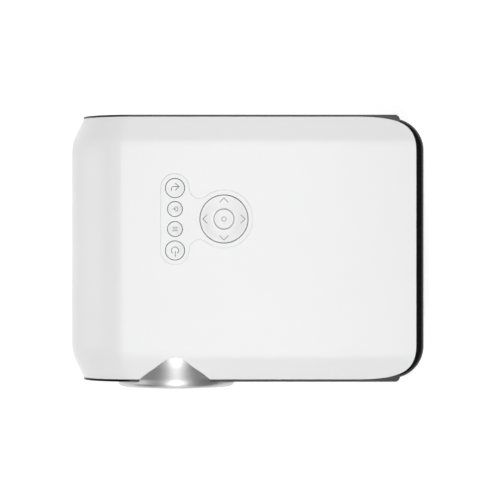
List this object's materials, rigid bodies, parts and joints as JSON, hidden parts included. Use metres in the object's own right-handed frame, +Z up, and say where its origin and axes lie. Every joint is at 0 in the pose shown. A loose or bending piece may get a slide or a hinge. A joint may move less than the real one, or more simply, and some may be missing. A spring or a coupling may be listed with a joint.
{
  "type": "projector with built-in dvd player",
  "caption": "Video projector with a white wrap-round case, a flared silver lens bezel, a keypad on top and a disc tray in its black right side.",
  "frame": {"origin": "on the table under the middle of the case", "axes": "+X to the projector's disc side, +Y to its rear, +Z up; the lens looks along -Y"},
  "size_m": [0.25, 0.192, 0.0914],
  "materials": {
    "white_shell": "fine satin moulded plastic",
    "white_keys": "smooth satin moulded plastic",
    "black_gloss": "polished black moulded plastic",
    "black_satin": "satin black moulded plastic",
    "silver_trim": "silver plated moulding",
    "barrel_black": "matt black moulded plastic",
    "clear_glass": "polished, with a faint coating",
    "grey_plastic": "plain moulded plastic",
    "board_green": "solder-masked board",
    "steel": "plain sheet and ground steel",
    "aluminium": "extruded aluminium",
    "brass": "turned brass",
    "rubber": "moulded rubber",
    "paper_cone": "pressed paper"
  },
  "bodies": {
    "housing": {"top_cover": "white_shell", "bottom_cover": "white_shell", "front_panel": "black_gloss", "rear_panel": "black_satin", "side_panel": "black_gloss", "keypad_plate": "white_keys", "keypad_board": "board_green", "key_switches": "grey_plastic", "nav_bracket": "grey_plastic", "lens_bezel": "silver_trim", "lens_sleeve": "barrel_black", "engine_housing": "grey_plastic", "engine_lid": "grey_plastic", "lcd_panel": "black_satin", "fresnel_lenses": "clear_glass", "condenser_lens": "clear_glass", "led_module": "aluminium", "heat_sink": "aluminium", "fan_frame": "black_satin", "main_board": "board_green", "signal_sockets": "steel", "power_board": "board_green", "power_parts": "grey_plastic", "power_inlet": "black_satin", "inlet_pins": "brass", "speaker_frames": "black_satin", "speaker_cones": "paper_cone", "remote_window": "black_gloss", "drive_case": "steel", "drive_cover": "steel", "rubber_feet": "rubber", "foot_insert": "brass", "tripod_insert": "brass", "case_screws": "steel", "small_screws": "steel", "keypad_cable": "white_keys"},
    "tray": {"disc_tray": "black_satin", "tray_bezel": "black_gloss", "traverse_plate": "steel", "guide_rods": "steel", "spindle_motor": "steel", "sled_motor": "steel"},
    "lens_barrel": {"lens_barrel": "barrel_black", "lens_elements": "clear_glass"},
    "return_key": {"return_key": "white_keys"},
    "source_key": {"source_key": "white_keys"},
    "menu_key": {"menu_key": "white_keys"},
    "power_key": {"power_key": "white_keys"},
    "ok_key": {"ok_key": "white_keys"},
    "nav_gimbal": {"nav_gimbal": "grey_plastic"},
    "nav_ring": {"nav_ring": "white_keys"},
    "fan_rotor": {"fan_rotor": "black_satin"},
    "focus_ring": {"focus_ring": "barrel_black"},
    "levelling_foot": {"levelling_foot": "black_satin"},
    "foot_pad": {"foot_pad": "rubber"},
    "eject_button": {"eject_button": "black_gloss"},
    "slide_rails": {"slide_rails": "steel"},
    "disc_hub": {"disc_hub": "grey_plastic"},
    "pickup_sled": {"pickup_sled": "black_satin"},
    "lead_screw": {"lead_screw": "steel"}
  },
  "joints": [
    {"name": "return_press", "type": "slide", "parent": "housing", "child": "return_key", "axis": [0, 0, -1], "range_m": [0, 0.0008], "stiffness_N_per_m": 600},
    {"name": "source_press", "type": "slide", "parent": "housing", "child": "source_key", "axis": [0, 0, -1], "range_m": [0, 0.0008], "stiffness_N_per_m": 600},
    {"name": "menu_press", "type": "slide", "parent": "housing", "child": "menu_key", "axis": [0, 0, -1], "range_m": [0, 0.0008], "stiffness_N_per_m": 600},
    {"name": "power_press", "type": "slide", "parent": "housing", "child": "power_key", "axis": [0, 0, -1], "range_m": [0, 0.0008], "stiffness_N_per_m": 600},
    {"name": "ok_press", "type": "slide", "parent": "housing", "child": "ok_key", "axis": [0, 0, -1], "range_m": [0, 0.0008], "stiffness_N_per_m": 600},
    {"name": "nav_tilt_x", "type": "hinge", "parent": "housing", "child": "nav_gimbal", "pos_m": [-0.0154, 0.0227, 0.0826], "axis": [1, 0, 0], "range_deg": [-2.5, 2.5], "stiffness_Nm_per_rad": 0.4},
    {"name": "nav_tilt_y", "type": "hinge", "parent": "nav_gimbal", "child": "nav_ring", "pos_m": [-0.0154, 0.0227, 0.0826], "axis": [0, 1, 0], "range_deg": [-2.5, 2.5], "stiffness_Nm_per_rad": 0.4},
    {"name": "fan_spin", "type": "hinge", "parent": "housing", "child": "fan_rotor", "pos_m": [-0.05, 0.08, 0.047], "axis": [0, 1, 0], "continuous": true},
    {"name": "focus_turn", "type": "hinge", "parent": "housing", "child": "focus_ring", "pos_m": [-0.05, -0.085, 0.05], "axis": [0, 1, 0], "range_deg": [-60.5, 60.5]},
    {"name": "focus_slide", "type": "slide", "parent": "housing", "child": "lens_barrel", "axis": [0, -1, 0], "range_m": [-0.003, 0.003]},
    {"name": "foot_lower", "type": "slide", "parent": "housing", "child": "foot_pad", "axis": [0, 0, -1], "range_m": [0, 0.015]},
    {"name": "foot_turn", "type": "hinge", "parent": "foot_pad", "child": "levelling_foot", "pos_m": [0.002, -0.072, 0.004], "axis": [0, 0, -1], "range_deg": [0, 4300]},
    {"name": "tray_slide", "type": "slide", "parent": "housing", "child": "tray", "axis": [1, 0, 0], "range_m": [0, 0.126]},
    {"name": "rail_slide", "type": "slide", "parent": "housing", "child": "slide_rails", "axis": [1, 0, 0], "range_m": [0, 0.063]},
    {"name": "disc_spin", "type": "hinge", "parent": "tray", "child": "disc_hub", "pos_m": [0.0595, 0.002, 0.059], "axis": [0, 0, 1], "continuous": true},
    {"name": "eject_press", "type": "slide", "parent": "tray", "child": "eject_button", "axis": [-1, 0, 0], "range_m": [0, 0.0005], "stiffness_N_per_m": 600},
    {"name": "screw_turn", "type": "hinge", "parent": "tray", "child": "lead_screw", "pos_m": [0.02, -0.026, 0.0528], "axis": [1, 0, 0], "range_deg": [0, 3610]},
    {"name": "sled_slide", "type": "slide", "parent": "tray", "child": "pickup_sled", "axis": [-1, 0, 0], "range_m": [0, 0.03]}
  ],
  "couplings": [
    {"joint": "focus_turn", "follows": "focus_slide", "rad_per_m": 349},
    {"joint": "foot_turn", "follows": "foot_lower", "rad_per_m": 5000},
    {"joint": "rail_slide", "follows": "tray_slide", "ratio": 0.5},
    {"joint": "screw_turn", "follows": "sled_slide", "rad_per_m": 2094}
  ]
}
